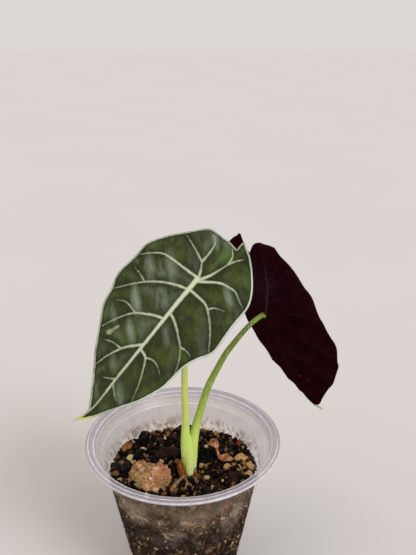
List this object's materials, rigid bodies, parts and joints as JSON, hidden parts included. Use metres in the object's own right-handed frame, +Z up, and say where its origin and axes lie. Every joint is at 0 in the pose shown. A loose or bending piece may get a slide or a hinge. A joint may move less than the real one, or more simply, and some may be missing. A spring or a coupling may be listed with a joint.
{
  "type": "potted aroid plant",
  "caption": "Young alocasia watsoniana with dark, pale-veined leaves on slender stalks, growing in a chunky mix in a small clear plastic cup.",
  "frame": {"origin": "middle of the underside of the cup, on the surface it stands on", "axes": "+Z up, -Y towards the viewer, the upper side of the front leaf faces -Y, +X towards the rear leaf"},
  "size_m": [0.1278, 0.1048, 0.1885],
  "materials": {
    "cup": "clear, slightly hazy, glossy",
    "potting_mix": "damp, crumbly, matt",
    "porous_stone": "rough, pitted",
    "curled_bark": "dry, matt",
    "bark": "rough, matt",
    "orange_bark": "rough, matt",
    "charcoal": "rough, matt",
    "grit": "rough, matt",
    "pale_grit": "rough, matt",
    "rhizome": "fibrous, matt",
    "dry_sheath": "dry, papery",
    "petiole_front": "smooth, satin",
    "petiole_rear": "smooth, satin",
    "leaf_front": "dark green with pale veins, satin",
    "leaf_rear": "near-black maroon below, satin"
  },
  "bodies": {
    "root": {"cup": "cup", "potting_mix": "potting_mix", "porous_stone": "porous_stone", "curled_bark": "curled_bark", "bark_chip_1": "bark", "bark_chip_2": "bark", "bark_chip_3": "bark", "bark_chip_4": "bark", "bark_chip_5": "orange_bark", "charcoal_1": "charcoal", "charcoal_2": "charcoal", "grit_stone_1": "grit", "grit_stone_2": "grit", "grit_stone_3": "grit", "grit_stone_4": "grit", "grit_stone_5": "grit", "grit_stone_6": "pale_grit", "grit_stone_7": "pale_grit", "rhizome": "rhizome", "dry_sheath": "dry_sheath", "petiole_front": "petiole_front", "petiole_rear": "petiole_rear", "leaf_front": "leaf_front", "leaf_rear": "leaf_rear"}
  },
  "joints": []
}
